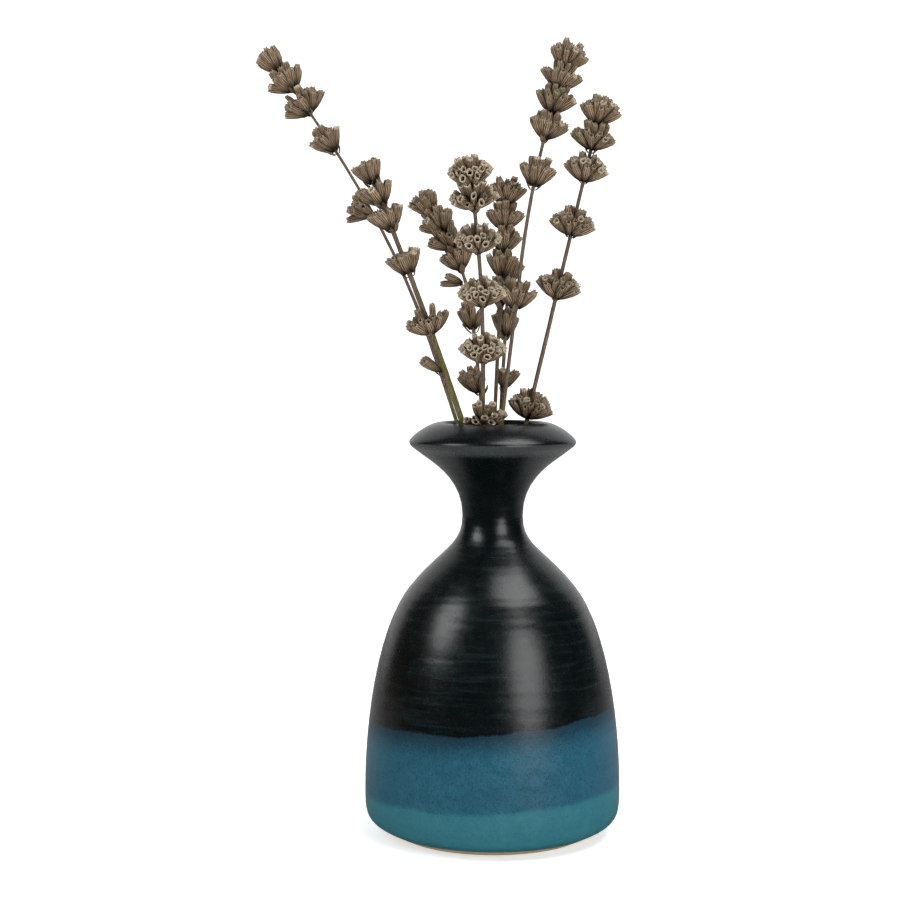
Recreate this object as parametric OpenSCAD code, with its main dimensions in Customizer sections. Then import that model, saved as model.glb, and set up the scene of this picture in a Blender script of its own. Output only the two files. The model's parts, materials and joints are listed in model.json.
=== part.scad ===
// Bud vase thrown in stoneware, dipped in three glazes, with loose sprigs of dried lavender.
// Origin at the centre of the foot, +Z up, front of the vase towards -Y. Millimetres.

/* [Vase] */
// Height from the foot to the crest of the lip
vase_h = 118; // [100:1:145]
// Widest diameter of the belly
belly_d = 73.4; // [60:0.2:90]
// Height of the widest part of the belly
belly_z = 12.5; // [10:0.5:20]
// Diameter of the flat foot
foot_d = 55.2; // [44:0.2:58]
// Outside diameter of the neck at its narrowest
neck_d = 17.3; // [17:0.1:26]
// Distance from the lip down to the narrowest part of the neck
neck_drop = 26.7; // [22:0.1:32]
// Outside diameter of the flared rim
rim_d = 47.8; // [40:0.2:58]
// Distance from the lip down to the edge of the rim
rim_drop = 5.5; // [4:0.1:7]
// Diameter of the mouth, measured at the crest of the lip
mouth_d = 30.2; // [26:0.2:36]
// Thickness of the wall, glaze included
wall = 2.75; // [2:0.05:3]
// Thickness of the floor
floor_t = 5; // [3:0.5:8]
// How far the rounded corner between wall and floor runs in over the floor
floor_corner = 9; // [6:0.5:12]

/* [Glaze] */
// Thickness of each coat of glaze
glaze_t = 0.4; // [0.2:0.05:0.8]
// Height of the line between the bare foot and the turquoise band
bare_line_z = 1; // [0.6:0.1:3]
// Height of the line between the turquoise and the blue band
blue_line_z = 12.5; // [8:0.5:20]
// Height of the line between the blue and the black glaze
black_line_z = 34.5; // [25:0.5:45]

/* [Lavender] */
// Length of one dry calyx
calyx_l = 6.8; // [5:0.1:7.5]
// Diameter of a calyx at its open end
calyx_d = 2.4; // [2:0.1:2.6]
// Diameter of a calyx where it grows from the stem
calyx_root_d = 0.55; // [0.4:0.05:0.65]
// Thickness across the flats of a common stem
stem_d = 1.2; // [0.9:0.1:1.3]
// Thickness across the flats of the stout low stem on the left
stout_stem_d = 1.7; // [1.2:0.1:1.8]

/* [Fits] */
// Gap between a stem and the wall or floor of the vase
stem_gap = 0.3; // [0.3:0.05:0.6]
// Gap between a calyx and the stem that it grows from
root_gap = 0.05; // [0.03:0.01:0.1]

/* [Hidden] */
eps = 0.01;
belly_r = belly_d / 2;
neck_r = neck_d / 2;
neck_z = vase_h - neck_drop;
neck_in_r = neck_r - wall;
mouth_r = mouth_d / 2;
rim_r = rim_d / 2;
rim_z = vase_h - rim_drop;

// The shoulder is the point where the belly's curve turns over into the neck's.
shoulder_a = 51.5;
shoulder_share = 0.54;
shoulder_drop = 20.6;
shoulder = [neck_r + (belly_r - neck_r) * shoulder_share, neck_z - shoulder_drop];
shoulder_dir = [-cos(shoulder_a), sin(shoulder_a)];
flare_a = 40.7;
flare_dir = [cos(flare_a), sin(flare_a)];
rim_edge = [0.9, 1.5];
under_rim = [rim_r, rim_z] - rim_edge;
lip_edge = [1.5, 1.4];
lip_in = [mouth_r, vase_h] - lip_edge;
lip_in_a = 55;
lip_in_dir = [cos(lip_in_a), sin(lip_in_a)];

// Handles of the outline's curves, from the foot up: how far each curve keeps its
// direction before it turns. The belly's is a share of the height to the shoulder.
foot_handle = [8.4, 4.2];
belly_low = 9;
belly_share = 0.386;
shoulder_low = 13.75;
shoulder_high = 14.2;
neck_low = 8.9;
neck_high = 11.7;
flare_handle = 5.7;
rim_in = 0.8;
rim_low = 0.5;
rim_high = 1.2;
lip_out = 3.2;
lip_turn = 0.9;
lip_low = 0.8;
throat_high = 8;
throat_low = 8;
chamber_high = 12.5;
corner_high = 2;

// A cubic curve from a to d with handles b and c: its points, each with the normal
// that looks out of the clay. The last point is left to the curve that follows.
function bez(a, b, c, d, t) =
    pow(1 - t, 3) * a + 3 * t * pow(1 - t, 2) * b + 3 * t * t * (1 - t) * c + pow(t, 3) * d;
function slope(a, b, c, d, t) =
    3 * pow(1 - t, 2) * (b - a) + 6 * t * (1 - t) * (c - b) + 3 * t * t * (d - c);
function out_of(v) = [v.y, -v.x] / norm(v);
function curve(a, b, c, d, n) =
    [for (i = [0:n - 1]) [bez(a, b, c, d, i / n), out_of(slope(a, b, c, d, i / n))]];

// Outline of the glazed vase: up the outside, over the lip, and down the inside.
outside = concat(
    curve([foot_d / 2, 0], [foot_d / 2, 0] + foot_handle, [belly_r, belly_z - belly_low],
          [belly_r, belly_z], 12),
    curve([belly_r, belly_z], [belly_r, belly_z + (shoulder.y - belly_z) * belly_share],
          shoulder - shoulder_low * shoulder_dir, shoulder, 16),
    curve(shoulder, shoulder + shoulder_high * shoulder_dir, [neck_r, neck_z - neck_low],
          [neck_r, neck_z], 10),
    curve([neck_r, neck_z], [neck_r, neck_z + neck_high], under_rim - flare_handle * flare_dir,
          under_rim, 10),
    curve(under_rim, under_rim + rim_in * flare_dir, [rim_r, rim_z - rim_low], [rim_r, rim_z], 4),
    curve([rim_r, rim_z], [rim_r, rim_z + rim_high], [mouth_r + lip_out, vase_h],
          [mouth_r, vase_h], 10));
mouth = concat(
    curve([mouth_r, vase_h], [mouth_r - lip_turn, vase_h], lip_in + lip_low * lip_in_dir, lip_in, 4),
    curve(lip_in, lip_in - throat_high * lip_in_dir, [neck_in_r, neck_z + throat_low],
          [neck_in_r, neck_z], 10));
chamber_r = belly_r - wall;
shoulder_in = shoulder - wall * out_of(shoulder_dir);
chamber = concat(
    curve([neck_in_r, neck_z], [neck_in_r, neck_z - throat_low], shoulder_in + chamber_high * shoulder_dir,
          shoulder_in, 10),
    curve(shoulder_in, shoulder_in - shoulder_low * shoulder_dir,
          [chamber_r, belly_z + (shoulder.y - belly_z) * belly_share], [chamber_r, belly_z], 14),
    curve([chamber_r, belly_z], [chamber_r, floor_t + corner_high], [chamber_r - floor_corner / 3, floor_t],
          [chamber_r - floor_corner, floor_t], 8));
floor_mid = [[0, floor_t], [0, 1]];

function glazed(line) = [for (p = line) p[0]];
function clay(line) = [for (p = line) p[0] - glaze_t * p[1]];
function reversed(list) = [for (i = [len(list) - 1:-1:0]) list[i]];
bare = [for (p = outside) if (p[0].y <= bare_line_z) p];
dipped = [for (p = outside) if (p[0].y > bare_line_z) p];

// ---- Vase ----

module turned(points) {
    rotate_extrude($fn = 96) polygon(points);
}

module slab(z0, z1) {
    translate([0, 0, z0]) cylinder(r = belly_d, h = z1 - z0, $fn = 64);
}

// The coat of glaze over the outside and the mouth, before it is split into bands
module dipped_coat() {
    line = concat(dipped, mouth, [chamber[0]]);
    turned(concat(glazed(line), reversed(clay(line))));
}

module stoneware_body() {
    color([0.78, 0.67, 0.52])
        turned(concat([[0, 0]], glazed(bare), clay(dipped), clay(mouth), clay(chamber),
                      [[0, floor_t - glaze_t]]));
}

module turquoise_glaze() {
    color([0.24, 0.49, 0.55])
        intersection() {
            dipped_coat();
            slab(0, blue_line_z);
        }
}

module blue_glaze() {
    color([0.19, 0.40, 0.52])
        intersection() {
            dipped_coat();
            slab(blue_line_z, black_line_z);
        }
}

module black_glaze() {
    color([0.05, 0.07, 0.08])
        intersection() {
            dipped_coat();
            slab(black_line_z, vase_h + eps);
        }
}

module liner_glaze() {
    line = concat(chamber, [floor_mid]);
    color([0.07, 0.10, 0.11])
        turned(concat(glazed(line), reversed(clay(line))));
}

// ---- Lavender ----

// One row for each sprig:
//   name; where its stem crosses the neck, as [share of the free radius, bearing];
//   lean, as [right, back] for each millimetre of height; stem thickness;
//   height of the tip above the lip; sideways bend at the tip, as [right, back];
//   height above the lip where the bend begins; and its whorls, lowest first.
// Bearings run anticlockwise from the right-hand side, seen from above, so 270 is the front.
// One row for each whorl:
//   height above the lip, calyces in the outer and the inner ring, how far the outer
//   ring opens from the stem, bearing it faces, and how far round the stem it spreads.
SPRIGS = [
    ["left_tall", [0.92, 250], [-0.33, 0.12], stem_d, 101, [-18, 0], 20, [
        [59.2, 5, 2, 66, 180, 190],
        [77.6, 7, 0, 38, 190, 300],
        [88.4, 8, 3, 54, 90, 360],
        [95, 7, 0, 42, 0, 360],
        [100.5, 5, 0, 24, 40, 360]]],
    ["left_low", [0.91, 277], [-0.34, -0.115], stout_stem_d, 67, [-2, 0], 10, [
        [14.8, 3, 0, 42, 185, 110],
        [25.2, 8, 3, 50, 215, 320],
        [41.9, 6, 0, 32, 20, 360],
        [54.2, 6, 0, 34, 50, 360],
        [60.8, 5, 0, 36, 10, 360],
        [66.5, 5, 0, 26, 30, 360]]],
    ["centre_left", [1, 98], [-0.09, 0.01], stem_d, 59.5, [-9, 0], 30, [
        [8.1, 6, 2, 46, 180, 250],
        [26.3, 4, 0, 30, 200, 300],
        [39.5, 1, 0, 72, 180, 40],
        [43.5, 5, 0, 36, 60, 360],
        [49.5, 6, 0, 52, 150, 300],
        [54.3, 6, 0, 46, 120, 360],
        [59.1, 5, 0, 34, 100, 360]]],
    ["centre_front", [0.88, 133], [0, -0.315], stem_d, 65.5, [-3.5, 0], 15, [
        [-1, 5, 0, 56, 288, 170],
        [17.4, 9, 4, 54, 275, 320],
        [32.9, 9, 4, 52, 270, 340],
        [47.4, 9, 4, 55, 270, 360],
        [59, 9, 0, 60, 270, 360],
        [65.2, 9, 4, 52, 270, 360]]],
    ["centre_right", [0.6, 105], [0.05, 0.045], stem_d, 62.5, [0, 0], 20, [
        [33.2, 5, 0, 24, 0, 360],
        [41.2, 5, 0, 28, 200, 360],
        [48.4, 5, 0, 38, 10, 300],
        [54.9, 7, 0, 42, 40, 360],
        [62, 6, 3, 44, 0, 360]]],
    ["centre_back", [0.57, 74], [0.06, 0.185], stem_d, 40, [0, 0], 20, [
        [8.9, 2, 0, 40, 290, 90],
        [24.2, 5, 0, 26, 20, 360],
        [39.5, 5, 0, 28, 60, 360]]],
    ["right_tall", [0.52, 257], [0.118, -0.01], stem_d, 100, [5.6, 0], 45, [
        [32.2, 7, 0, 38, 0, 360],
        [66.6, 7, 0, 34, 20, 360],
        [79.8, 8, 0, 42, 0, 360],
        [87.2, 8, 0, 46, 25, 360],
        [93.4, 7, 0, 42, 10, 360],
        [99.3, 6, 3, 44, 20, 360]]],
    ["right", [0.87, 34], [0.23, -0.073], stem_d, 84, [0, 0], 20, [
        [1, 10, 4, 54, 0, 360],
        [35.1, 9, 4, 54, 15, 360],
        [52.8, 10, 4, 57, 0, 360],
        [67.8, 9, 4, 50, 10, 360],
        [76.7, 9, 0, 56, 0, 360],
        [83.6, 8, 4, 46, 0, 360]]]];

// Stems thin towards the tip, and their sections are squares with cut corners.
tip_share = 0.72;
corner_cut = 0.3;
stem_corner = 0.62;
ring_step = 5;
root_lift = 0.15;
golden = 137.5;

function crossing(s) =
    let (free = neck_in_r - s[3] * stem_corner - stem_gap)
    s[1][0] * free * [cos(s[1][1]), sin(s[1][1])];
function bend_share(s, h) = pow(max(0, h - s[6]) / (s[4] - s[6]), 2);
function stem_at(s, h) =
    let (xy = crossing(s) + s[2] * (h + neck_drop) + s[5] * bend_share(s, h))
    [xy.x, xy.y, vase_h + h];
function stem_dir(s, h) =
    let (d = stem_at(s, h + 0.5) - stem_at(s, h - 0.5)) d / norm(d);
function stem_r(s, h) =
    s[3] / 2 * (1 - (1 - tip_share) * max(0, h) / s[4]);

// A stem stands on the floor, or on the wall where it meets that first.
corner_share = 0.7;
reach = chamber_r - floor_corner * corner_share;
function foot_h(s) =
    let (lean = norm(s[2]), at_neck = crossing(s) * s[2] / lean)
    max(floor_t + stem_gap - vase_h, -neck_drop - (reach + at_neck) / lean);

module stem(s) {
    h0 = foot_h(s);
    straight = [h0, s[6]];
    n = ceil((s[4] - s[6]) / ring_step);
    heights = concat(straight, [for (i = [1:n]) s[6] + (s[4] - s[6]) * i / n]);
    section = [for (q = [0:3]) for (side = [-1, 1])
        let (a = q * 90, u = [cos(a), sin(a)], v = [-sin(a), cos(a)])
        u + v * side * (1 - corner_cut)];
    rings = [for (h = heights) for (p = section)
        stem_at(s, h) + stem_r(s, h) * [p.x, p.y, 0]];
    m = len(section);
    last = len(heights) - 1;
    faces = concat(
        [[for (i = [0:m - 1]) i]],
        [for (k = [0:last - 1]) for (i = [0:m - 1])
            [k * m + i, (k + 1) * m + i, (k + 1) * m + (i + 1) % m, k * m + (i + 1) % m]],
        [[for (i = [m - 1:-1:0]) last * m + i]]);
    color([0.42, 0.36, 0.27]) polyhedron(rings, faces);
}

// A calyx grows from a narrow root, widens to its belly and keeps that width to the mouth.
calyx_belly_at = 0.62;
calyx_belly_share = 0.96;

module calyx(length) {
    rotate_extrude($fn = 24)
        polygon([[0, 0], [calyx_root_d / 2, 0], [calyx_d / 2 * calyx_belly_share, length * calyx_belly_at],
                 [calyx_d / 2, length], [0, length]]);
}

module ring_of_calyces(stem_r, count, open, facing, spread, lift, length) {
    first = spread < 360 ? 0.5 : 0;
    for (k = [0:count - 1]) {
        bearing = facing + spread * ((k + first) / count - 0.5);
        uneven = sin(k * golden + facing);
        rotate([0, 0, bearing])
            translate([stem_r + root_gap + calyx_root_d / 2, 0, lift])
                rotate([0, open + uneven_open * uneven, 0])
                    calyx(length * (1 + uneven_length * uneven));
    }
}

inner_lift = 1.7;
inner_open = 15;
inner_turn = 20;
uneven_open = 2;
uneven_length = 0.05;
root_clear = 1.2;

module whorl(s, w) {
    at = stem_at(s, w[0]);
    d = stem_dir(s, w[0]);
    r = stem_r(s, w[0]) * root_clear;
    tilt = acos(d.z);
    turn = atan2(d.y, d.x);
    color([0.55, 0.47, 0.39])
        translate(at) rotate([0, 0, turn]) rotate([0, tilt, 0]) rotate([0, 0, -turn]) {
            ring_of_calyces(r, w[1], w[3], w[4], w[5], root_lift, calyx_l);
            if (w[2] > 0)
                ring_of_calyces(r, w[2], inner_open, w[4] + inner_turn, w[5], inner_lift, calyx_l);
        }
}

stoneware_body();
turquoise_glaze();
blue_glaze();
black_glaze();
liner_glaze();
for (s = SPRIGS) {
    stem(s);
    for (i = [1:len(s[7])])
        whorl(s, s[7][i - 1]);
}
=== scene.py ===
"""A glazed stoneware bud vase with eight loose sprigs of dried lavender."""

import json
import math
import random

import bmesh
import bpy
from mathutils import Matrix, Vector

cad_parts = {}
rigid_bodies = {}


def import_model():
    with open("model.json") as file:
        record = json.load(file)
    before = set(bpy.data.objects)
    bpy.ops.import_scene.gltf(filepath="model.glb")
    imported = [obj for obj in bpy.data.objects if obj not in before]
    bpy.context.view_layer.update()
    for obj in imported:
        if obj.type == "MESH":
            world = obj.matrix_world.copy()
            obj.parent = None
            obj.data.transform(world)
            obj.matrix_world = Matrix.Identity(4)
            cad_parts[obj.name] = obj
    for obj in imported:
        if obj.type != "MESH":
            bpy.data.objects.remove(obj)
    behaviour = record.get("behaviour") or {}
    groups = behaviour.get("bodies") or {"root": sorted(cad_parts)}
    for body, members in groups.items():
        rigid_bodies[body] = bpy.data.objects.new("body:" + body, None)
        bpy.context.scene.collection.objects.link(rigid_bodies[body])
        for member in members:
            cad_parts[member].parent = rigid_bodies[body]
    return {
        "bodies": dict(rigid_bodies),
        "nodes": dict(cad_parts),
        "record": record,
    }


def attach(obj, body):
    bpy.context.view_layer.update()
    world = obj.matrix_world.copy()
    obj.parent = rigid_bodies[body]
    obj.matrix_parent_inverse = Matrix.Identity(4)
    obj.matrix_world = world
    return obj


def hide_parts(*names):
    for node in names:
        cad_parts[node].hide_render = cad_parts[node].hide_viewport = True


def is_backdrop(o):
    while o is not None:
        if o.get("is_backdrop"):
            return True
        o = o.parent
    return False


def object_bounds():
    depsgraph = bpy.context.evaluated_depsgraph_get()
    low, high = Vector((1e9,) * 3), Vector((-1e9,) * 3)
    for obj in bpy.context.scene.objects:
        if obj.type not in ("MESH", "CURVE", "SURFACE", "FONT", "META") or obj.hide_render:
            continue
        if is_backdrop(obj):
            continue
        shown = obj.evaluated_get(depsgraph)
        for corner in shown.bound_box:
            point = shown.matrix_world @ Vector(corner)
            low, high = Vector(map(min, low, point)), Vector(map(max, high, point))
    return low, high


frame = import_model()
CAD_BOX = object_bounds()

MM = 0.001
NODES = frame["nodes"]
SAME_POINT = 0.0002 * MM           # CAD triangles share corners closer than this
SHARP_EDGE = math.radians(48)      # faces that meet at more than this are shaded apart


# ---------------------------------------------------------------- shader helpers

class Wiring:
    """Adds shader nodes to one tree and joins their sockets."""

    def __init__(self, tree):
        self.tree = tree

    def feed(self, node, values):
        """Joins or sets a node's sockets, which are given by name or by number."""
        for socket, value in values.items():
            if isinstance(value, bpy.types.NodeSocket):
                self.tree.links.new(value, node.inputs[socket])
            else:
                node.inputs[socket].default_value = value

    def add(self, kind, values=None, **settings):
        """A new node with its settings and the values of its sockets."""
        node = self.tree.nodes.new(kind)
        for name, value in settings.items():
            setattr(node, name, value)
        self.feed(node, values or {})
        return node

    def sums(self, operation, first, second=0.0, third=0.0):
        """One number worked out from up to three."""
        return self.add("ShaderNodeMath", {0: first, 1: second, 2: third}, operation=operation).outputs[0]

    def times(self, first, second):
        """One number multiplied by another."""
        return self.sums("MULTIPLY", first, second)

    def plus(self, value, extra, by):
        """A number with a share of another added."""
        return self.sums("MULTIPLY_ADD", extra, by, value)

    def wander(self, value, noise, by):
        """A number that noise carries up and down, by up to half of by each way."""
        return self.plus(value, self.sums("SUBTRACT", noise, 0.5), by)

    def stretch(self, vector, by):
        """A vector multiplied axis by axis."""
        return self.add("ShaderNodeVectorMath", {0: vector, 1: by}, operation="MULTIPLY").outputs[0]

    def grain(self, vector, scale, detail=3.0, roughness=0.55):
        """Cloudy noise from 0 to 1."""
        return self.add("ShaderNodeTexNoise", {"Vector": vector, "Scale": scale, "Detail": detail,
                                               "Roughness": roughness}).outputs["Fac"]

    def span(self, value, low, high, to_low=0.0, to_high=1.0):
        """A smooth step from one range to another."""
        return self.add("ShaderNodeMapRange", {"Value": value, "From Min": low, "From Max": high,
                                               "To Min": to_low, "To Max": to_high},
                        interpolation_type="SMOOTHSTEP").outputs["Result"]

    def blend(self, share, first, second, kind="MIX"):
        """Two colours mixed by a share from 0 to 1."""
        return self.add("ShaderNodeMix", {0: share, 6: first, 7: second},
                        data_type="RGBA", blend_type=kind).outputs[2]

    def relief(self, height, distance, strength=1.0, normal=None):
        """Bumps a surface by a height from 0 to 1 times a distance."""
        values = {"Height": height, "Distance": distance, "Strength": strength}
        if normal is not None:
            values["Normal"] = normal
        return self.add("ShaderNodeBump", values).outputs["Normal"]


def colour(red, green, blue):
    """A paint value as a shader colour."""
    return (red, green, blue, 1.0)


def start_group(name, outputs):
    """A shared shader group with the named outputs, its wiring and its output node."""
    tree = bpy.data.node_groups.new(name, "ShaderNodeTree")
    for label, kind in outputs:
        tree.interface.new_socket(label, in_out="OUTPUT", socket_type="NodeSocket" + kind)
    wiring = Wiring(tree)
    return tree, wiring, wiring.add("NodeGroupOutput")


def start_material(name):
    """A new material: its wiring and its shader."""
    material = bpy.data.materials.new(name)
    material.use_nodes = True
    material.node_tree.nodes.clear()
    wiring = Wiring(material.node_tree)
    shader = wiring.add("ShaderNodeBsdfPrincipled")
    output = wiring.add("ShaderNodeOutputMaterial")
    wiring.tree.links.new(shader.outputs[0], output.inputs["Surface"])
    return material, wiring, shader


def join(wiring, shader, **sockets):
    """Joins or sets a shader's sockets; an underscore stands for a space."""
    wiring.feed(shader, {name.replace("_", " "): value for name, value in sockets.items()})


def place_mm(wiring):
    """The surface point in millimetres."""
    spot = wiring.add("ShaderNodeTexCoord").outputs["Object"]
    return wiring.add("ShaderNodeVectorMath", {0: spot, "Scale": 1 / MM}, operation="SCALE").outputs[0]


# ---------------------------------------------------------------- glaze

# heights and half-widths in mm
BELLY = 36.7                       # half-width of the vase's widest part
BLACK_LINE = 35.9                  # where the black coat ends, at the axis
BLACK_TILT = (0.066, 0.02)         # how much that line rises to the right and to the back
BLUE_LINE = 13.9                   # where the blue coat ends, at the axis
BLUE_TILT = 0.045                  # how much that line rises to the right
BLUE_SAG = 0.3                     # how much lower it hangs at the front
RIM_REFLECTION_BAND = ((108.6, 110.6), (112.9, 112.3))       # where the painted grey reflection on the rim's edge comes in, and goes out
STREAKS_FADE = (92.0, 72.0)        # from the throat, with no streaks in the paint, down to the shoulder
GLAZE_IOR = 1.43


def over_dip_lines(w, spot, x, y, z):
    """How far a point is above the ends of the black coat and of the blue one, in mm."""
    slow = w.grain(spot, 0.06, 1.0)
    ragged = w.grain(w.stretch(spot, (1, 1, 0.5)), 0.9, 4.0, 0.7)
    black_edge = w.plus(w.plus(BLACK_LINE, y, BLACK_TILT[1]), x, BLACK_TILT[0])
    black_edge = w.wander(w.wander(black_edge, slow, 2.2), ragged, 1.3)
    front = w.sums("POWER", w.sums("MAXIMUM", w.times(y, -1 / BELLY), 0.0), 6.0)
    blue_edge = w.plus(w.plus(BLUE_LINE, x, BLUE_TILT), front, -BLUE_SAG)
    blue_edge = w.wander(w.wander(blue_edge, slow, 1.6), ragged, 1.6)
    return w.sums("SUBTRACT", z, black_edge), w.sums("SUBTRACT", z, blue_edge)


def black_paint(w, x, z, mottle, pin, streak):
    """Near-black glaze, browner on the left, with paler streaks and specks on the wall."""
    brown_side = w.span(w.wander(x, mottle, 26.0), -12.0, -34.0)
    paint = w.blend(brown_side, colour(0.0010, 0.0026, 0.0028), colour(0.0032, 0.0024, 0.0010))
    paint = w.blend(w.span(mottle, 0.45, 0.75), paint, colour(0.0018, 0.0046, 0.0046))
    wall = w.span(z, *STREAKS_FADE, 0.0, 0.8)
    paint = w.blend(w.times(wall, w.span(streak, 0.50, 0.68)), paint, colour(0.0042, 0.0098, 0.0108))
    return w.blend(w.times(pin, w.times(wall, 0.3)), paint, colour(0.010, 0.018, 0.018))


def blue_paint(w, x, over_black, mottle, speck, pin):
    """Blue glaze, deeper to the right, with indigo seeping down from under the black."""
    indigo = w.span(w.wander(over_black, speck, 9.0), -8.0, 0.0)
    paint = w.blend(w.span(mottle, 0.35, 0.7), colour(0.007, 0.070, 0.108), colour(0.010, 0.086, 0.130))
    paint = w.blend(w.span(x, 0.0, 40.0, 0.0, 0.45), paint, colour(0.012, 0.074, 0.130))
    paint = w.blend(w.times(indigo, 0.92), paint, colour(0.003, 0.020, 0.036))
    return w.blend(w.times(pin, 0.65), paint, colour(0.003, 0.026, 0.048))


def turquoise_paint(w, over_blue, mottle, pin):
    """Turquoise glaze, a little darker near the foot, as painted shade where the wall turns under."""
    # painted shade: darker towards the foot, where the wall turns under
    low = w.span(over_blue, -1.5, -7.5)
    paint = w.blend(low, colour(0.016, 0.120, 0.152), colour(0.013, 0.112, 0.142))
    paint = w.blend(w.times(w.span(mottle, 0.4, 0.75), 0.5), paint, colour(0.024, 0.140, 0.170))
    return w.blend(w.times(pin, 0.4), paint, colour(0.008, 0.052, 0.068))


def glaze_group():
    """The dipped glazes: colour, gloss and relief over the whole outside."""
    tree, w, out = start_group("dipped_glaze", (("Color", "Color"), ("Roughness", "Float"),
                                                ("Skin", "Float"), ("Marks", "Float")))
    spot = place_mm(w)
    axes = w.add("ShaderNodeSeparateXYZ", {0: spot})
    x, y, z = axes.outputs[0], axes.outputs[1], axes.outputs[2]
    over_black, over_blue = over_dip_lines(w, spot, x, y, z)
    black = w.span(over_black, -0.35, 0.35)
    blue = w.span(over_blue, -0.9, 0.9)

    # clouds, fine specks, and the level streaks that fingers leave
    mottle = w.grain(spot, 0.32, 5.0, 0.6)
    speck = w.grain(spot, 2.3, 3.0, 0.7)
    pin = w.span(speck, 0.58, 0.70)
    streak = w.grain(w.stretch(spot, (0.05, 0.05, 0.75)), 1.0, 3.0, 0.6)

    # the two bright glazes are salted with dark grains, and the black one lies over them
    paint = w.blend(blue, turquoise_paint(w, over_blue, mottle, pin),
                    blue_paint(w, x, over_black, mottle, speck, pin))
    salted = w.times(w.span(w.grain(spot, 1.7, 3.0, 0.75), 0.48, 0.66), w.plus(0.38, blue, 0.34))
    paint = w.blend(salted, paint, colour(0.40, 0.46, 0.50), "MULTIPLY")
    paint = w.blend(black, paint, black_paint(w, x, z, mottle, pin, streak))

    # painted reflection: a grey band over the edge of the rim stands in for the floor's reflection there
    painted_rim_reflection = w.times(w.span(z, *RIM_REFLECTION_BAND[0]), w.span(z, *RIM_REFLECTION_BAND[1]))
    paint = w.blend(w.times(painted_rim_reflection, 0.8), paint, colour(0.040, 0.044, 0.044))

    # the bright glazes are duller than the black one, and the gloss is never quite even
    rough = w.span(mottle, 0.3, 0.75, 0.22, 0.27)
    rough = w.plus(rough, w.sums("SUBTRACT", 1.0, black), 0.10)
    rough = w.wander(w.plus(rough, pin, 0.10), streak, 0.12)

    # the fine dimpled skin
    skin = w.plus(w.grain(spot, 2.8, 2.0, 0.6), w.grain(spot, 0.95, 2.0), 0.5)

    for socket, value in zip(out.inputs, (paint, rough, skin, streak)):
        tree.links.new(value, socket)
    return tree


def glaze_material(name, group, skin_depth, mark_depth):
    """One glaze coat's material on the shared dipped glaze."""
    material, w, shader = start_material(name)
    dipped = w.add("ShaderNodeGroup", node_tree=group)
    normal = w.relief(dipped.outputs["Marks"], mark_depth)
    normal = w.relief(dipped.outputs["Skin"], skin_depth, 1.0, normal)
    join(w, shader, Base_Color=dipped.outputs["Color"], Roughness=dipped.outputs["Roughness"],
         Normal=normal, IOR=GLAZE_IOR)
    return material


def clay_material():
    """Bare fired clay with sandy grog."""
    material, w, shader = start_material("bare_stoneware")
    spot = place_mm(w)
    cloud = w.grain(spot, 0.4, 4.0)
    grog = w.grain(spot, 3.0, 3.0, 0.7)
    paint = w.blend(cloud, colour(0.30, 0.23, 0.14), colour(0.42, 0.33, 0.21))
    paint = w.blend(w.span(grog, 0.62, 0.74, 0.0, 0.7), paint, colour(0.22, 0.12, 0.06))
    join(w, shader, Base_Color=paint, Roughness=w.span(cloud, 0.3, 0.7, 0.75, 0.92),
         Normal=w.relief(grog, 0.12 * MM))
    return material


# ---------------------------------------------------------------- plant materials

RIBS = 11                          # ribs painted round one calyx, with painted shade in the furrows between them


def dry_fibre_group():
    """Dry plant tissue: long fibres, blotches and dust."""
    tree, w, out = start_group("dry_fibre", (("Fibre", "Float"), ("Blotch", "Float"),
                                             ("Dust", "Float")))
    spot = place_mm(w)
    fibre = w.grain(w.stretch(spot, (5.0, 5.0, 0.35)), 1.0, 4.0, 0.65)
    blotch = w.grain(spot, 0.22, 3.0)
    dust = w.grain(spot, 4.5, 2.0, 0.6)
    for socket, value in zip(out.inputs, (fibre, blotch, dust)):
        tree.links.new(value, socket)
    return tree


def stem_material(name, group, dark, light, blush, green_to):
    """A woody stem: dark and light fibres, blushed in patches, and olive up to a height in mm."""
    material, w, shader = start_material(name)
    dry = w.add("ShaderNodeGroup", node_tree=group).outputs
    fibre = w.span(dry["Fibre"], 0.35, 0.65)
    paint = w.blend(fibre, dark, light)
    paint = w.blend(w.span(dry["Blotch"], 0.42, 0.68, 0.0, 0.8), paint, blush)
    olive = w.blend(fibre, colour(0.075, 0.066, 0.018), colour(0.170, 0.148, 0.050))
    height = w.add("ShaderNodeSeparateXYZ", {0: place_mm(w)}).outputs[2]
    height = w.wander(height, dry["Blotch"], 24.0)
    paint = w.blend(w.span(height, green_to + 7.0, green_to - 7.0, 0.0, 0.9), paint, olive)
    paint = w.blend(w.span(dry["Dust"], 0.62, 0.75, 0.0, 0.5), paint, colour(0.30, 0.25, 0.20))
    join(w, shader, Base_Color=paint, Roughness=w.span(dry["Fibre"], 0.3, 0.7, 0.5, 0.75),
         Normal=w.relief(dry["Fibre"], 0.10 * MM), Specular_IOR_Level=0.25)
    return material


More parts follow.
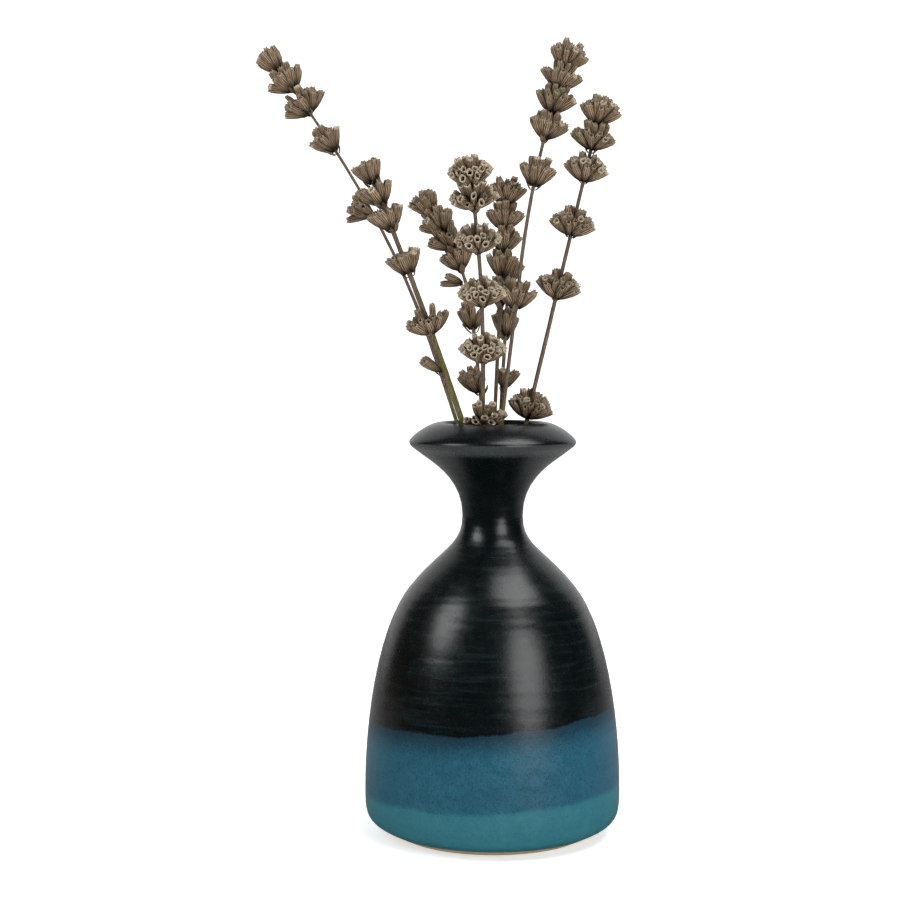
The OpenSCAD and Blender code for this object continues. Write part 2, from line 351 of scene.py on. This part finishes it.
def calyx_material():
    """Dry papery calyces: ribs from the UV round them with painted shade in their furrows, pale mouths,
    and painted shade at the roots and inside the mouths.
    """
    material, w, shader = start_material("dry_calyx")
    along = w.add("ShaderNodeUVMap", uv_map="ribs")
    sides = w.add("ShaderNodeSeparateXYZ", {0: along.outputs[0]})
    round_it, up_it = sides.outputs[0], sides.outputs[1]
    tint = w.add("ShaderNodeAttribute", attribute_name="tint").outputs["Fac"]
    opened = w.add("ShaderNodeAttribute", attribute_name="open").outputs["Fac"]
    rib = w.plus(0.5, w.sums("SINE", w.times(round_it, math.tau * RIBS)), 0.5)
    strands = w.add("ShaderNodeCombineXYZ", {0: w.times(round_it, 26.0), 1: w.times(up_it, 2.5),
                                             2: w.times(tint, 37.0)}).outputs[0]
    hair = w.grain(strands, 1.0, 3.0, 0.7)
    # painted shade: the furrows between the ribs are near black
    paint = w.blend(w.span(rib, 0.15, 0.75), colour(0.018, 0.010, 0.004), colour(0.325, 0.225, 0.138))
    paint = w.blend(w.span(tint, 0.0, 1.0, 0.0, 0.75), paint, colour(0.088, 0.054, 0.028))
    paint = w.blend(w.span(hair, 0.35, 0.7, 0.0, 0.5), paint, colour(0.37, 0.29, 0.205))

    # painted shade towards the root, pale at the lip, and the darkest painted shade inside the mouth
    # painted shade: darker towards the root, where the calyces crowd the stem
    paint = w.blend(w.span(up_it, 0.62, 0.05, 0.0, 0.94), paint, colour(0.024, 0.014, 0.006))
    pale = w.times(w.span(up_it, 0.84, 0.98), w.plus(0.32, opened, 0.55))
    paint = w.blend(pale, paint, colour(0.56, 0.48, 0.36))
    # painted shade: darkest inside the mouth
    paint = w.blend(w.span(up_it, 1.05, 1.30, 0.0, 0.96), paint, colour(0.012, 0.008, 0.005))
    join(w, shader, Base_Color=paint, Roughness=w.span(hair, 0.3, 0.7, 0.7, 0.92),
         Normal=w.relief(w.plus(rib, hair, 0.5), 0.22 * MM), Specular_IOR_Level=0.12)
    return material


# ---------------------------------------------------------------- for every piece

def joined_copy(node):
    """A CAD node's mesh with its loose triangles joined at their corners."""
    mesh = bmesh.new()
    mesh.from_mesh(NODES[node].data)
    bmesh.ops.remove_doubles(mesh, verts=mesh.verts, dist=SAME_POINT)
    return mesh


def finish_piece(mesh, node, material, slot, body):
    """A bmesh made into a smooth-shaded piece that stands for its CAD node and rides a body."""
    data = bpy.data.meshes.new(node + "_look")
    mesh.to_mesh(data)
    mesh.free()
    data.shade_smooth()
    data.set_sharp_from_angle(angle=SHARP_EDGE)
    data.materials.append(material)
    piece = bpy.data.objects.new(node + "_look", data)
    bpy.context.scene.collection.objects.link(piece)
    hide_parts(node)
    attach(piece, body)


# ---------------------------------------------------------------- turned vase coats

TURN_STEPS = 256                   # columns round a turned coat
ROW = 0.7 * MM                     # longest step of a turned wall between two rows
MOST_CUTS = 12                     # cuts made at once in a long straight part of an outline
ALMOST_STRAIGHT = 0.002            # a bend of less than this, in radians, is no corner
WALL_TOP = 88 * MM                 # throwing marks fade out below the narrow throat
FADE_OVER = 12 * MM                # how far below it they start to fade
MARK_DEPTH = 0.03 * MM             # how deep the potter's fingers marked the wall
SPIRAL = 5.2                       # rise of the finger spiral in one turn, in mm
GROOVES = (                        # deeper finger grooves: height and width in mm, depth in marks
    (63.7, 0.9, 2.4),
    (54.3, 0.5, 1.0),
    (45.2, 0.5, 0.7),
    (71.5, 0.6, 0.6),
)


def half_section(node):
    """The outline of a turned node: its cut along y = 0, right of the axis."""
    mesh = joined_copy(node)
    bmesh.ops.bisect_plane(mesh, geom=mesh.verts[:] + mesh.edges[:] + mesh.faces[:], dist=SAME_POINT,
                           plane_co=(0, 0, 0), plane_no=(0, 1, 0), clear_inner=True, clear_outer=True)
    bmesh.ops.bisect_plane(mesh, geom=mesh.verts[:] + mesh.edges[:], dist=SAME_POINT,
                           plane_co=(0, 0, 0), plane_no=(1, 0, 0), clear_inner=True)
    bmesh.ops.remove_doubles(mesh, verts=mesh.verts, dist=0.05 * MM)
    straight = []
    for vert in mesh.verts:
        if len(vert.link_edges) == 2:
            before, after = (edge.other_vert(vert).co for edge in vert.link_edges)
            if (before - vert.co).angle(vert.co - after, 0.0) < ALMOST_STRAIGHT:
                straight.append(vert)
    bmesh.ops.dissolve_verts(mesh, verts=straight)
    return mesh


def throwing_depth(place):
    """How far the potter's fingers pushed the wall in at a place, in metres."""
    turn = math.atan2(place.y, place.x)
    height = place.z / MM + 0.16 * math.sin(turn + 0.8)
    spiral = height + turn / math.tau * SPIRAL
    waves = (0.5 + 0.5 * math.sin(spiral * math.tau / SPIRAL)) * 0.55
    waves += (0.5 + 0.5 * math.sin(height * 1.9 + 1.1 * math.sin(height * 0.37))) * 0.45
    grooves = sum(deep * math.exp(-((height - at) / wide) ** 2) for at, wide, deep in GROOVES)
    fade = min(1.0, max(0.0, (WALL_TOP - place.z) / FADE_OVER))
    low = min(1.0, max(0.15, place.z / (50 * MM)))
    return MARK_DEPTH * fade * (waves * low + grooves)


def turned_coat(node, material, marked):
    """A vase coat turned afresh from its CAD outline, with throwing marks where it is marked."""
    mesh = half_section(node)
    if marked:
        for cuts in range(MOST_CUTS, 0, -1):
            long = [edge for edge in mesh.edges if edge.calc_length() > ROW * cuts]
            bmesh.ops.subdivide_edges(mesh, edges=long, cuts=cuts)
    bmesh.ops.spin(mesh, geom=mesh.verts[:] + mesh.edges[:], cent=(0, 0, 0), axis=(0, 0, 1),
                   dvec=(0, 0, 0), angle=math.tau, steps=TURN_STEPS, use_merge=True, use_duplicate=False)
    bmesh.ops.remove_doubles(mesh, verts=mesh.verts, dist=SAME_POINT)
    bmesh.ops.recalc_face_normals(mesh, faces=mesh.faces)
    if marked:
        mesh.normal_update()
        for vert in [v for v in mesh.verts if v.co.z < WALL_TOP]:
            outward = Vector((vert.co.x, vert.co.y, 0)).normalized()
            if vert.normal.dot(outward) > 0.2:
                vert.co -= vert.normal * throwing_depth(vert.co)
    finish_piece(mesh, node, material, node, "vase")


# ---------------------------------------------------------------- stems

STEM_SIDES = 16                    # columns of faces round a stem
STEM_STEP = 1.6 * MM               # height of one length of stem
NODE_REACH = 1.1 * MM              # how far a stem's swelling at a whorl reaches
STRAY = 0.02 * MM                  # how far a stem strays sideways in one length


def stem_rings(node):
    """(centre, half-width) of each level ring of a CAD stem, from the foot up."""
    mesh = joined_copy(node)
    levels = {}
    for vert in mesh.verts:
        levels.setdefault(round(vert.co.z / MM, 2), []).append(vert.co.copy())
    mesh.free()
    rings = []
    for level in sorted(levels):
        points = levels[level]
        centre = sum(points, Vector()) / len(points)
        rings.append((centre, max(p.x for p in points) - centre.x))
    return rings


def along_rings(rings, z):
    """The stem's centre and half-width at a height, on a smooth curve through its rings."""
    last = len(rings) - 1
    i = max(k for k in range(last) if rings[k][0].z <= z or k == 0)
    (low, low_w), (high, high_w) = rings[i], rings[i + 1]
    t = (z - low.z) / (high.z - low.z)
    before = rings[i - 1][0] if i > 0 else low * 2 - high
    after = rings[i + 2][0] if i + 2 <= last else high * 2 - low

    def slope(a, b):
        """Sideways run per unit of height between two centres."""
        return (b - a) / (b.z - a.z)

    start = (slope(before, low) + slope(low, high)) / 2 * (high.z - low.z)
    end = (slope(low, high) + slope(high, after)) / 2 * (high.z - low.z)
    centre = (low * (2 * t ** 3 - 3 * t ** 2 + 1) + start * (t ** 3 - 2 * t ** 2 + t)
              + high * (3 * t ** 2 - 2 * t ** 3) + end * (t ** 3 - t ** 2))
    centre.z = z
    return centre, low_w + (high_w - low_w) * t


def stem_foot(mesh, centre, width):
    """The rounded, grooved square that a stem starts from, as its one face."""
    made = bmesh.ops.create_circle(mesh, cap_ends=True, segments=STEM_SIDES, radius=1.0)["verts"]
    for vert in made:
        turn = math.atan2(vert.co.y, vert.co.x)
        corner = abs(math.cos(2 * (turn - math.pi / 4))) ** 2
        groove = abs(math.cos(2 * turn)) ** 8
        vert.co *= 0.90 + 0.17 * corner - 0.06 * groove
    bmesh.ops.scale(mesh, verts=made, vec=(width, width, 1))
    bmesh.ops.translate(mesh, verts=made, vec=centre)
    return mesh.faces[:]


def stem_piece(sprig, material, slot, whorls_at, rings):
    """A square ribbed stem drawn up its CAD centre line, swollen where a whorl sits."""
    node = sprig + "_stem"
    wobble = random.Random(node)
    foot, tip = rings[0][0].z, rings[-1][0].z
    steps = int((tip - foot) / STEM_STEP)
    mesh = bmesh.new()
    centre, width = along_rings(rings, foot)
    cap = stem_foot(mesh, centre, width)
    stray = Vector((0, 0, 0))
    for step in range(1, steps + 1):
        z = foot + (tip - foot) * step / steps
        target, target_width = along_rings(rings, z)
        swell = max(math.exp(-((z - at) / NODE_REACH) ** 2) for at in whorls_at)
        target_width *= 1.06 + 0.12 * swell + wobble.uniform(-0.03, 0.03)
        stray = stray * 0.8 + Vector((wobble.uniform(-1, 1), wobble.uniform(-1, 1), 0)) * STRAY
        target = target + stray
        grown = bmesh.ops.extrude_face_region(mesh, geom=cap)["geom"]
        if step > 1:
            bmesh.ops.delete(mesh, geom=cap, context="FACES")
        cap = [part for part in grown if isinstance(part, bmesh.types.BMFace)]
        ring = [part for part in grown if isinstance(part, bmesh.types.BMVert)]
        widen = target_width / width
        twist = Matrix.Rotation(wobble.uniform(-0.05, 0.05), 3, "Z")
        bmesh.ops.translate(mesh, verts=ring, vec=-centre)
        bmesh.ops.scale(mesh, verts=ring, vec=(widen, widen, 1))
        bmesh.ops.rotate(mesh, verts=ring, cent=(0, 0, 0), matrix=twist)
        bmesh.ops.translate(mesh, verts=ring, vec=target)
        centre, width = target, target_width
    bmesh.ops.recalc_face_normals(mesh, faces=mesh.faces)
    finish_piece(mesh, node, material, slot, sprig + "_sprig")


# ---------------------------------------------------------------- whorls of calyces

CALYX_SIDES = 8                    # columns of faces round one calyx
CALYX_ROOT = 0.30                  # width of a calyx's root, as a share of its widest
CALYX_BANDS = ((0.06, 0.36), (0.26, 0.78), (0.54, 1.0), (0.82, 0.96))    # shares of length and of width
CALYX_LIP = ((1.0, 0.90), (0.95, 0.62), (0.62, 0.42))    # the lip and the inside, as shares of the same
END_SHARE = 0.12                   # this much of a CAD calyx, at either end, gives its axis
BRACT_THICK = 0.12 * MM
OPEN_RING = math.radians(20)       # calyces that lean out less than this belong to the inner ring
WIDE_OPEN = math.radians(42)       # whorls that lean out less than this have calyces that hang lower
NEIGHBOURS = math.radians(80)      # calyces further apart than this have a real gap between them
CROWN, TIP_CROWN = 1.8, 1.0        # how high the calyces over a whorl stand, and over the topmost one
OPEN_SHARE = {"centre_front": 0.85, "right": 0.25}       # share of open mouths, in these sprigs
OPEN_ELSEWHERE = 0.08              # and in the others
SLENDER = ("left_low",)            # sprigs with nothing grown over their whorls
FEW = 3                            # whorls with fewer CAD calyces than this get some beside them


def islands(mesh):
    """The separate solids of a mesh, as lists of points."""
    waiting = set(mesh.verts)
    while waiting:
        stack = [waiting.pop()]
        found = []
        while stack:
            vert = stack.pop()
            found.append(vert.co.copy())
            for edge in vert.link_edges:
                other = edge.other_vert(vert)
                if other in waiting:
                    waiting.remove(other)
                    stack.append(other)
        yield found


def calyx_axis(points):
    """(root, direction, length, widest radius) of one CAD calyx, its narrow end first."""
    first = points[0]
    far = max(points, key=lambda p: (p - first).length)
    other = max(points, key=lambda p: (p - far).length)
    axis = (far - other).normalized()
    for _ in range(6):
        heights = [p.dot(axis) for p in points]
        low, high = min(heights), max(heights)
        reach = (high - low) * END_SHARE
        ends = [sum(near, Vector()) / len(near) for near in (
            [p for p, h in zip(points, heights) if h < low + reach],
            [p for p, h in zip(points, heights) if h > high - reach])]
        axis = (ends[1] - ends[0]).normalized()
    heights = [p.dot(axis) for p in points]
    low, high = min(heights), max(heights)
    length = high - low
    middle = ends[0] + axis * ((low + high) / 2 - ends[0].dot(axis))
    offs = [((p - middle) - axis * (p - middle).dot(axis)).length for p in points]
    lower = max(off for off, h in zip(offs, heights) if h < low + length * 0.25)
    upper = max(off for off, h in zip(offs, heights) if h > high - length * 0.25)
    if lower > upper:
        axis = -axis
    return middle - axis * length / 2, axis, length, max(offs)


def calyx_tube(mesh, length, radius, mouth):
    """A calyx's tube, upright from the origin: each of its points with its share of the length.

    Inside the mouth the share goes on growing past 1, down to the bottom."""
    start = bmesh.ops.create_circle(mesh, cap_ends=True, segments=CALYX_SIDES,
                                    radius=radius * CALYX_ROOT)["verts"]
    cap = start[0].link_faces[0]
    shares = dict.fromkeys(start, 0.0)
    height, width = 0.0, radius * CALYX_ROOT
    lip = [(share, wide * mouth) for share, wide in CALYX_LIP]
    for count, (share, wide) in enumerate([*CALYX_BANDS, *lip]):
        grown = bmesh.ops.extrude_face_region(mesh, geom=[cap])["geom"]
        if count:
            bmesh.ops.delete(mesh, geom=[cap], context="FACES")
        cap = [part for part in grown if isinstance(part, bmesh.types.BMFace)][0]
        ring = [part for part in grown if isinstance(part, bmesh.types.BMVert)]
        widen = radius * wide / width
        bmesh.ops.scale(mesh, verts=ring, vec=(widen, widen, 1))
        bmesh.ops.translate(mesh, verts=ring, vec=(0, 0, (share - height) * length))
        height, width = share, radius * wide
        inside = count > len(CALYX_BANDS)
        shares.update(dict.fromkeys(ring, 2.0 - share if inside else share))
    return shares


def lay_ribs(layer, shares):
    """Lays the UV of the ribs round a calyx: once round it, and up it by its shares."""
    for face in {face for vert in shares for face in vert.link_faces}:
        middle = face.calc_center_median()
        middle_turn = math.atan2(middle.y, middle.x)
        for loop in face.loops:
            turn = math.atan2(loop.vert.co.y, loop.vert.co.x)
            turn += math.tau * round((middle_turn - turn) / math.tau)
            loop[layer].uv = (turn / math.tau, shares[loop.vert])


def ribbed_calyx(mesh, marks, root, direction, length, radius, opened, dice):
    """One ribbed calyx grown from its root along a direction, its mouth wide open or drawn in."""
    flat = dice.uniform(0.66, 0.86)
    bend = dice.uniform(-0.10, 0.10)
    tooth = dice.uniform(0.03, 0.07) if opened else dice.uniform(0.04, 0.11)
    mouth = dice.uniform(0.96, 1.06) if opened else dice.uniform(0.62, 0.86)
    shares = calyx_tube(mesh, length, radius, mouth)
    tint = dice.random()
    for vert, share in shares.items():
        vert[marks["tint"]] = tint
        vert[marks["open"]] = opened
        column = round(math.atan2(vert.co.y, vert.co.x) / math.tau * CALYX_SIDES)
        if 0.9 < share < 1.1 and column % 2:
            vert.co.z -= tooth * length
    lay_ribs(marks["ribs"], shares)
    made = list(shares)
    for vert in made:
        vert.co.y *= flat
        vert.co.x += bend * length * (vert.co.z / length) ** 2
    spun = Matrix.Rotation(dice.uniform(0, math.tau), 3, "Z")
    turned = direction.to_track_quat("Z", "Y").to_matrix() @ spun
    bmesh.ops.rotate(mesh, verts=made, cent=(0, 0, 0), matrix=turned)
    bmesh.ops.translate(mesh, verts=made, vec=root)


def bract(mesh, marks, root, outward, axis, dice):
    """One small pointed dry leaf under a whorl, cupped and curled outwards."""
    length = dice.uniform(2.6, 3.9) * MM
    made = bmesh.ops.create_grid(mesh, x_segments=2, y_segments=5, size=0.5)["verts"]
    wide = length * dice.uniform(0.40, 0.55)
    curl = dice.uniform(0.1, 0.45)
    for vert in made:
        across, up = vert.co.x * 2, vert.co.y + 0.5
        taper = math.sin(math.pi * (0.12 + up * 0.87)) ** 0.8
        out = (curl * up * up * 0.5 - across * across * 0.10) * length
        vert.co = Vector((across * wide * 0.5 * taper, out, up * length))
        vert[marks["tint"]] = 0.1
    faces = list({face for vert in made for face in vert.link_faces})
    for face in faces:
        for loop in face.loops:
            loop[marks["ribs"]].uv = (loop.vert.co.x / length, 0.35 + 0.5 * loop.vert.co.z / length)
    grown = bmesh.ops.solidify(mesh, geom=faces, thickness=BRACT_THICK)["geom"]
    made = list(set(made) | {part for part in grown if isinstance(part, bmesh.types.BMVert)})
    rise = (outward * dice.uniform(0.55, 0.85) + axis * 0.8).normalized()
    side = axis.cross(outward).normalized()
    bmesh.ops.rotate(mesh, verts=made, cent=(0, 0, 0),
                     matrix=Matrix((side, rise.cross(side), rise)).transposed())
    bmesh.ops.translate(mesh, verts=made, vec=root)


def turn_round(direction, axis):
    """The bearing of a direction round a stem's axis."""
    right = Vector((1, 0, 0))
    across = (right - axis * right.dot(axis)).normalized()
    return math.atan2(direction.dot(axis.cross(across)), direction.dot(across))


def filled_whorl(axes, axis, crown, slender, dice):
    """The CAD calyces of a whorl, and the younger ones between them, over them and beside them."""
    grown = list(axes)

    def grow(root, up, towards, lift, length, radius):
        """Adds a calyx, its root moved up the stem in mm and its line lifted towards the stem."""
        grown.append((root + axis * up * MM, (towards + axis * lift).normalized(), length, radius))

    outer = sorted((calyx for calyx in axes if calyx[1].angle(axis) > OPEN_RING),
                   key=lambda calyx: turn_round(calyx[1], axis))
    inner = len(axes) - len(outer)
    followers = outer[1:] + outer[:1] if len(outer) > 1 else []
    for (root, direction, length, radius), after in zip(outer, followers):
        gap = (turn_round(after[1], axis) - turn_round(direction, axis)) % math.tau
        if gap > NEIGHBOURS:
            continue
        between = (direction + after[1]).normalized()
        rise = 0.16 if between.angle(axis) > WIDE_OPEN else -dice.uniform(0.0, 0.30)
        grow((root + after[0]) / 2, 0.7, between, rise, length * dice.uniform(0.90, 0.99), radius)
        if slender:
            continue
        if inner:
            lift = dice.uniform(0.40, 0.62)
            grow(root, 1.0, direction, lift, length * dice.uniform(0.88, 0.98), radius)
        elif len(outer) > 3:
            lift = 0.6 + 0.35 * crown
            grow(root, 0.4 + crown, direction, lift, length * dice.uniform(0.84, 0.96), radius)
    if len(axes) < FEW:
        for root, direction, length, radius in axes:
            for side in (-1, 1):
                aside = Matrix.Rotation(side * dice.uniform(0.5, 0.7), 3, axis) @ direction
                grow(root, 0.5, aside, 0.35, length * 0.86, radius)
    return grown


def whorl_piece(sprig, node, material, rings):
    """One whorl of ribbed calyces with its bracts below; gives back its height on the stem."""
    source = joined_copy(node)
    axes = sorted((calyx_axis(points) for points in islands(source)), key=lambda calyx: tuple(calyx[0]))
    source.free()
    dice = random.Random(node)
    level = sum(root.z for root, _, _, _ in axes) / len(axes)
    tip = rings[-1][0].z
    centre, width = along_rings(rings, min(level, tip - 0.6 * MM))
    lower = along_rings(rings, centre.z - 1.0 * MM)[0]
    axis = (centre - lower).normalized()

    # all the layers are made before any is used, because making one renews the others
    mesh = bmesh.new()
    mesh.loops.layers.uv.new("ribs")
    mesh.verts.layers.float.new("tint")
    mesh.verts.layers.float.new("open")
    marks = {"ribs": mesh.loops.layers.uv["ribs"], "tint": mesh.verts.layers.float["tint"],
             "open": mesh.verts.layers.float["open"]}

    crown = CROWN if level < tip - 4 * MM else TIP_CROWN
    for root, direction, length, radius in filled_whorl(axes, axis, crown, sprig in SLENDER, dice):
        opened = dice.random() < OPEN_SHARE.get(sprig, OPEN_ELSEWHERE)
        ribbed_calyx(mesh, marks, root, direction, length, radius, opened, dice)

    # two bracts across the stem from each other, or one under a whorl that grows to one side
    one_sided = len(axes) < 4
    first = dice.uniform(0, math.pi)
    for turn in (first,) if one_sided else (first, first + math.pi):
        towards = axes[0][1] if one_sided else Vector((math.cos(turn), math.sin(turn), 0))
        outward = (towards - axis * towards.dot(axis)).normalized()
        seat = centre + outward * (width + 0.15 * MM) - axis * 0.9 * MM
        bract(mesh, marks, seat, outward, axis, dice)
    bmesh.ops.recalc_face_normals(mesh, faces=mesh.faces)
    finish_piece(mesh, node, material, "dry_calyx", sprig + "_sprig")
    return level


# ---------------------------------------------------------------- the object

def build_vase():
    """The clay body and its four glaze coats, each with how deep its skin and its marks are."""
    group = glaze_group()
    turned_coat("stoneware_body", clay_material(), False)
    for coat, skin_depth, mark_depth, marked in (
            ("black_glaze", 0.034 * MM, 0.008 * MM, True),
            ("blue_glaze", 0.040 * MM, 0.006 * MM, True),
            ("turquoise_glaze", 0.040 * MM, 0.006 * MM, True),
            ("liner_glaze", 0.050 * MM, 0.060 * MM, False)):
        turned_coat(coat, glaze_material(coat, group, skin_depth, mark_depth), marked)


def build_sprigs():
    """Every sprig: its stem and its whorls."""
    group = dry_fibre_group()
    calyx = calyx_material()
    stems = {
        "dry_stem": stem_material("dry_stem", group, colour(0.050, 0.032, 0.022),
                                  colour(0.165, 0.115, 0.080), colour(0.100, 0.055, 0.042), 126.0),
        "olive_stem": stem_material("olive_stem", group, colour(0.060, 0.042, 0.024),
                                    colour(0.165, 0.120, 0.075), colour(0.090, 0.060, 0.035), 146.0),
    }
    slots = {part["node"]: part["material_slot"] for part in frame["record"]["subparts"]
             if "material_slot" in part}
    for body in sorted(frame["bodies"]):
        if not body.endswith("_sprig"):
            continue
        sprig = body[:-len("_sprig")]
        rings = stem_rings(sprig + "_stem")
        levels = [whorl_piece(sprig, node, calyx, rings) for node in sorted(NODES)
                  if node.startswith(sprig + "_whorl_")]
        slot = slots[sprig + "_stem"]
        stem_piece(sprig, stems[slot], slot, levels, rings)


# ---------------------------------------------------------------- room

FRONT_TO_BACK = (-0.06, 0.10)      # where a sheet's reflection goes from its front share to its back one
AIM = Vector((0, 0, 60 * MM))      # the softboxes face the middle of the vase
SOFTBOXES = (                      # bearing from the front and rise in degrees; size in m; power in W
    ("right_softbox", 34, 19, 0.56, 0.74, 5.3, "ELLIPSE"),
    ("top_softbox", 59, 66, 0.62, 0.56, 6.2, "RECTANGLE"),
    ("left_softbox", -62, 37, 0.44, 0.66, 4.3, "ELLIPSE"),
)
SOFTBOX_AWAY = 1.0                 # from the vase, in m
CAMERA_LENS = 75.66                # in mm
CAMERA_SENSOR = 36.0               # width in mm
CAMERA_PLACE = (-12.2 * MM, -540 * MM, 145.7 * MM)
CAMERA_DIP = math.radians(3.78)    # below level


def studio_paint(name, paint, glow, mirrored, in_front):
    """A pale studio surface that glows a little, and shows only a share of itself in shiny things.

    The share falls to in_front where the surface comes forward of the vase."""
    material, w, shader = start_material(name)
    rays = w.add("ShaderNodeLightPath")
    spot = w.add("ShaderNodeTexCoord").outputs["Object"]
    back = w.add("ShaderNodeSeparateXYZ", {0: spot}).outputs[1]
    shown = w.span(back, *FRONT_TO_BACK, in_front, mirrored)
    share = w.plus(1.0, rays.outputs["Is Glossy Ray"], w.sums("SUBTRACT", shown, 1.0))
    shade = w.blend(share, colour(0, 0, 0), paint)
    join(w, shader, Base_Color=shade, Emission_Color=shade, Roughness=0.9, Specular_IOR_Level=0.0,
         Emission_Strength=glow)
    return material


def stage_sheet(name, size, place, turn, material):
    """A square sheet of the room, turned up from level by an angle."""
    mesh = bmesh.new()
    bmesh.ops.create_grid(mesh, x_segments=1, y_segments=1, size=size / 2)
    bmesh.ops.rotate(mesh, verts=mesh.verts, cent=(0, 0, 0), matrix=Matrix.Rotation(turn, 3, "X"))
    bmesh.ops.translate(mesh, verts=mesh.verts, vec=place)
    data = bpy.data.meshes.new(name)
    mesh.to_mesh(data)
    mesh.free()
    data.materials.append(material)
    piece = bpy.data.objects.new(name, data)
    bpy.context.scene.collection.objects.link(piece)
    piece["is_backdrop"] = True


def world_light():
    """White light from all round: full to the camera, weak on things, weaker in reflections."""
    world = bpy.data.worlds.new("room_light")
    world.use_nodes = True
    w = Wiring(world.node_tree)
    rays = w.add("ShaderNodeLightPath").outputs
    strength = w.plus(0.25, rays["Is Camera Ray"], 0.75)
    strength = w.plus(strength, rays["Is Glossy Ray"], -0.23)
    sky = world.node_tree.nodes["Background"]
    w.feed(sky, {"Strength": strength, "Color": colour(1.0, 1.0, 1.0)})
    bpy.context.scene.world = world


def softboxes():
    """The studio's area lights, each facing the vase."""
    for name, bearing, rise, wide, high, power, shape in SOFTBOXES:
        lamp = bpy.data.lights.new(name, "AREA")
        lamp.shape = shape
        lamp.size = wide
        lamp.size_y = high
        lamp.energy = power
        turn, lift = math.radians(bearing), math.radians(rise)
        out = Vector((math.sin(turn) * math.cos(lift), -math.cos(turn) * math.cos(lift), math.sin(lift)))
        holder = bpy.data.objects.new(name, lamp)
        holder.location = AIM + out * SOFTBOX_AWAY
        holder.rotation_mode = "QUATERNION"
        holder.rotation_quaternion = out.to_track_quat("Z", "Y")
        bpy.context.scene.collection.objects.link(holder)


def room():
    """A pale floor, a bright backdrop and soft studio lights."""
    floor = studio_paint("pale_floor", colour(0.86, 0.86, 0.86), 0.55, 0.25, 0.03)
    backdrop = studio_paint("pale_backdrop", colour(0.95, 0.95, 0.95), 1.0, 0.60, 0.60)
    stage_sheet("floor", 3.2, (0, 0, 0), 0.0, floor)
    stage_sheet("backdrop", 8.0, (0, 3.2, 2.0), math.pi / 2, backdrop)
    world_light()
    softboxes()


def camera():
    """The camera, a little above the rim and dipped slightly, with a view that keeps white white."""
    lens = bpy.data.cameras.new("camera")
    lens.sensor_width = CAMERA_SENSOR
    lens.lens = CAMERA_LENS
    lens.clip_start = 0.01
    holder = bpy.data.objects.new("camera", lens)
    holder.location = CAMERA_PLACE
    holder.rotation_euler = (math.pi / 2 - CAMERA_DIP, 0, 0)
    scene = bpy.context.scene
    scene.collection.objects.link(holder)
    scene.camera = holder
    scene.view_settings.view_transform = "Standard"


build_vase()
build_sprigs()
room()
camera()

LOOK_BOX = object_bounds()
boxes = {name: [list(low), list(high)] for name, (low, high) in (("cad", CAD_BOX), ("visual", LOOK_BOX))}
